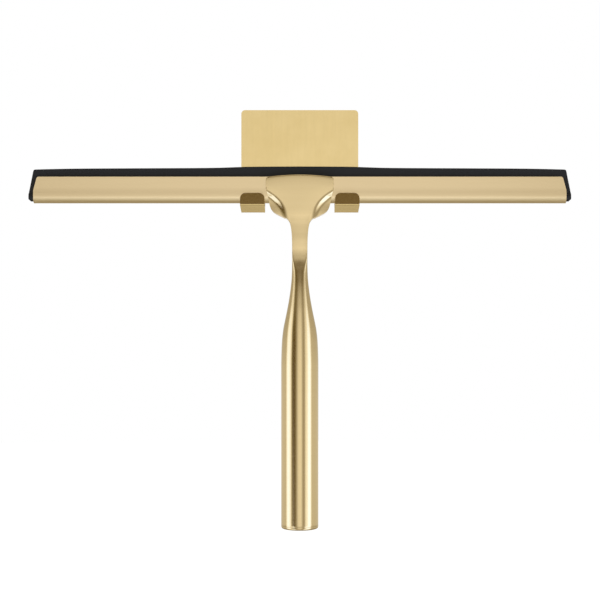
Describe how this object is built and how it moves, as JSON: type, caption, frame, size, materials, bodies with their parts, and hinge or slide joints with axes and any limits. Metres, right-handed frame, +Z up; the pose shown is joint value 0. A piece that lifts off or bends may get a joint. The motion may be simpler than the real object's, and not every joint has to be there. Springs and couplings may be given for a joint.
{
  "type": "squeegee with wall holder",
  "caption": "Brushed-gold window and shower squeegee with a black rubber blade, hanging from a bent adhesive wall plate with a pair of J-hooks.",
  "frame": {"origin": "centre of the adhesive pad's back face, where it meets the wall", "axes": "+X along the blade, +Y into the wall, -Y towards the user, +Z up"},
  "size_m": [0.254, 0.021, 0.1974],
  "materials": {
    "holder_gold": "satin, brushed upright",
    "handle_gold": "satin, brushed round the grip",
    "channel_gold": "satin, brushed along the blade",
    "screw_steel": "satin",
    "blade_rubber": "matte",
    "seal_rubber": "matte",
    "foam": "matte closed-cell foam"
  },
  "bodies": {
    "holder": {"wall_plate": "holder_gold", "adhesive_pad": "foam"},
    "squeegee": {"handle": "handle_gold", "rear_jaw": "handle_gold", "jaw_screws": "screw_steel", "blade_channel": "channel_gold", "grip_end_cap": "handle_gold", "end_cap_ring": "seal_rubber"},
    "blade": {"rubber_blade": "blade_rubber"}
  },
  "joints": [
    {"name": "lift_off", "type": "slide", "parent": "holder", "child": "squeegee", "axis": [0, 0, 1], "range_m": [0, 0.2]},
    {"name": "blade_slide", "type": "slide", "parent": "squeegee", "child": "blade", "axis": [1, 0, 0], "range_m": [0, 0.26]}
  ]
}
